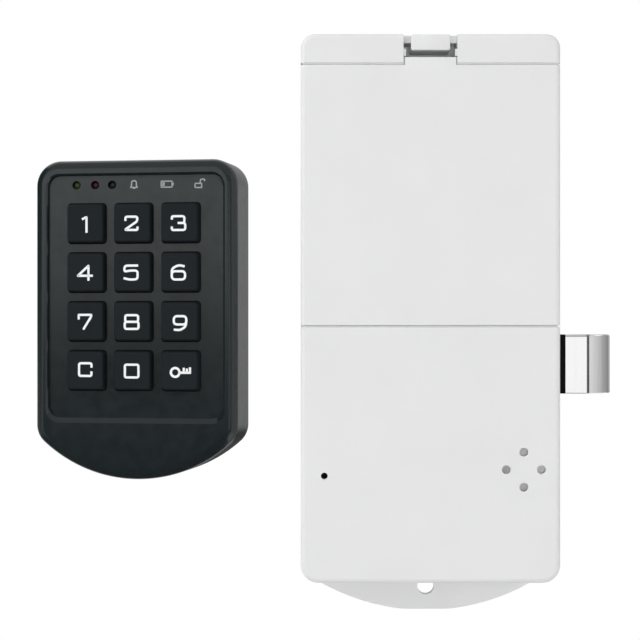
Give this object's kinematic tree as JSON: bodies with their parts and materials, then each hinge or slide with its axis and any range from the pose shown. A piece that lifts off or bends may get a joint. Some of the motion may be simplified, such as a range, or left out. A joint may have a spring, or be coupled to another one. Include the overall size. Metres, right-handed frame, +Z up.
{
  "type": "electronic cabinet lock",
  "caption": "Electronic cabinet lock in two units: an upright keypad with a curved chin, and a flat lock body with a battery cover and a sprung latch bolt on its side.",
  "frame": {"origin": "middle of the back face of the lock unit's base plate, which lies on the inside of the door", "axes": "+X towards the side that the bolt leaves from, +Y from the front into the door, +Z up; the keypad unit stands to the left, turned 9.5 degrees about Z"},
  "size_m": [0.1472, 0.024, 0.1474],
  "materials": {
    "pale_plastic": "fine satin moulding",
    "dark_plastic": "satin moulding",
    "key_plastic": "satin moulding",
    "black_plastic": "matt moulding",
    "nylon": "natural nylon",
    "chrome": "bright plated",
    "steel": "plain",
    "brass": "turned",
    "board_green": "solder mask",
    "silicone": "matt",
    "cell_jacket": "printed sleeve, bare of marks",
    "lamp_green": "tinted lens",
    "lamp_red": "tinted lens",
    "lamp_open": "tinted lens"
  },
  "bodies": {
    "units": {"lock_housing": "pale_plastic", "base_plate": "pale_plastic", "battery_cell_1": "cell_jacket", "battery_cell_2": "cell_jacket", "battery_cell_3": "cell_jacket", "battery_cell_4": "cell_jacket", "contact_bottom_left": "steel", "contact_bottom_middle": "steel", "contact_bottom_right": "steel", "contact_top_left": "steel", "contact_top_right": "steel", "bolt_spring": "steel", "gear_pin": "steel", "drive_motor": "steel", "housing_screw_1": "steel", "housing_screw_2": "steel", "housing_screw_3": "steel", "housing_screw_4": "steel", "frame_screw_1": "steel", "frame_screw_2": "steel", "board_screw_1": "steel", "board_screw_2": "steel", "keypad_screw_1": "steel", "keypad_screw_2": "steel", "threaded_insert_1": "brass", "threaded_insert_2": "brass", "mechanism_frame": "black_plastic", "buzzer": "black_plastic", "reset_switch": "black_plastic", "board_socket": "nylon", "keypad_socket": "nylon", "main_circuit_board": "board_green", "keypad_circuit_board": "board_green", "keypad_shell": "dark_plastic", "keypad_back_plate": "dark_plastic", "keypad_rubber_mat": "silicone", "lamp_green": "lamp_green", "lamp_red": "lamp_red", "lamp_open": "lamp_open"},
    "battery_cover": {"battery_cover": "pale_plastic"},
    "cover_clip": {"cover_clip": "pale_plastic"},
    "bolt": {"bolt_carrier": "black_plastic", "bolt_nose": "chrome"},
    "gear": {"reduction_gear": "nylon"},
    "motor_rotor": {"motor_shaft": "steel", "motor_pinion": "brass"},
    "reset_plunger": {"reset_plunger": "nylon"},
    "key_1": {"key_1": "key_plastic"},
    "key_2": {"key_2": "key_plastic"},
    "key_3": {"key_3": "key_plastic"},
    "key_4": {"key_4": "key_plastic"},
    "key_5": {"key_5": "key_plastic"},
    "key_6": {"key_6": "key_plastic"},
    "key_7": {"key_7": "key_plastic"},
    "key_8": {"key_8": "key_plastic"},
    "key_9": {"key_9": "key_plastic"},
    "key_clear": {"key_clear": "key_plastic"},
    "key_0": {"key_0": "key_plastic"},
    "key_enter": {"key_enter": "key_plastic"}
  },
  "joints": [
    {"name": "cover_hinge", "type": "hinge", "parent": "units", "child": "battery_cover", "pos_m": [0, -0.024, -0.00445], "axis": [1, 0, 0], "range_deg": [0, 75]},
    {"name": "clip_flex", "type": "hinge", "parent": "battery_cover", "child": "cover_clip", "pos_m": [0, -0.0153, 0.06455], "axis": [1, 0, 0], "range_deg": [0, 8], "stiffness_Nm_per_rad": 0.02, "springref_deg": -5.73},
    {"name": "bolt_slide", "type": "slide", "parent": "units", "child": "bolt", "axis": [1, 0, 0], "range_m": [-0.0125, 0], "stiffness_N_per_m": 100, "springref_m": 0.015, "deforming": ["bolt_spring"]},
    {"name": "gear_spin", "type": "hinge", "parent": "units", "child": "gear", "pos_m": [0.008, -0.011, -0.02722], "axis": [0, 1, 0], "range_deg": [-149.3, 0]},
    {"name": "motor_spin", "type": "hinge", "parent": "units", "child": "motor_rotor", "pos_m": [0.0008, -0.0197, -0.0397], "axis": [0, 1, 0], "range_deg": [0, 448]},
    {"name": "reset_press", "type": "slide", "parent": "units", "child": "reset_plunger", "axis": [0, 1, 0], "range_m": [0, 0.0004], "stiffness_N_per_m": 300, "springref_m": -0.001},
    {"name": "key_1_press", "type": "slide", "parent": "units", "child": "key_1", "axis": [0.165, 0.9863, 0], "range_m": [0, 0.0012], "stiffness_N_per_m": 200, "springref_m": -0.002, "deforming": ["keypad_rubber_mat"]},
    {"name": "key_2_press", "type": "slide", "parent": "units", "child": "key_2", "axis": [0.165, 0.9863, 0], "range_m": [0, 0.0012], "stiffness_N_per_m": 200, "springref_m": -0.002, "deforming": ["keypad_rubber_mat"]},
    {"name": "key_3_press", "type": "slide", "parent": "units", "child": "key_3", "axis": [0.165, 0.9863, 0], "range_m": [0, 0.0012], "stiffness_N_per_m": 200, "springref_m": -0.002, "deforming": ["keypad_rubber_mat"]},
    {"name": "key_4_press", "type": "slide", "parent": "units", "child": "key_4", "axis": [0.165, 0.9863, 0], "range_m": [0, 0.0012], "stiffness_N_per_m": 200, "springref_m": -0.002, "deforming": ["keypad_rubber_mat"]},
    {"name": "key_5_press", "type": "slide", "parent": "units", "child": "key_5", "axis": [0.165, 0.9863, 0], "range_m": [0, 0.0012], "stiffness_N_per_m": 200, "springref_m": -0.002, "deforming": ["keypad_rubber_mat"]},
    {"name": "key_6_press", "type": "slide", "parent": "units", "child": "key_6", "axis": [0.165, 0.9863, 0], "range_m": [0, 0.0012], "stiffness_N_per_m": 200, "springref_m": -0.002, "deforming": ["keypad_rubber_mat"]},
    {"name": "key_7_press", "type": "slide", "parent": "units", "child": "key_7", "axis": [0.165, 0.9863, 0], "range_m": [0, 0.0012], "stiffness_N_per_m": 200, "springref_m": -0.002, "deforming": ["keypad_rubber_mat"]},
    {"name": "key_8_press", "type": "slide", "parent": "units", "child": "key_8", "axis": [0.165, 0.9863, 0], "range_m": [0, 0.0012], "stiffness_N_per_m": 200, "springref_m": -0.002, "deforming": ["keypad_rubber_mat"]},
    {"name": "key_9_press", "type": "slide", "parent": "units", "child": "key_9", "axis": [0.165, 0.9863, 0], "range_m": [0, 0.0012], "stiffness_N_per_m": 200, "springref_m": -0.002, "deforming": ["keypad_rubber_mat"]},
    {"name": "key_clear_press", "type": "slide", "parent": "units", "child": "key_clear", "axis": [0.165, 0.9863, 0], "range_m": [0, 0.0012], "stiffness_N_per_m": 200, "springref_m": -0.002, "deforming": ["keypad_rubber_mat"]},
    {"name": "key_0_press", "type": "slide", "parent": "units", "child": "key_0", "axis": [0.165, 0.9863, 0], "range_m": [0, 0.0012], "stiffness_N_per_m": 200, "springref_m": -0.002, "deforming": ["keypad_rubber_mat"]},
    {"name": "key_enter_press", "type": "slide", "parent": "units", "child": "key_enter", "axis": [0.165, 0.9863, 0], "range_m": [0, 0.0012], "stiffness_N_per_m": 200, "springref_m": -0.002, "deforming": ["keypad_rubber_mat"]}
  ],
  "couplings": [
    {"joint": "gear_spin", "follows": "bolt_slide", "rad_per_m": 208.33},
    {"joint": "motor_spin", "follows": "bolt_slide", "rad_per_m": -625}
  ]
}
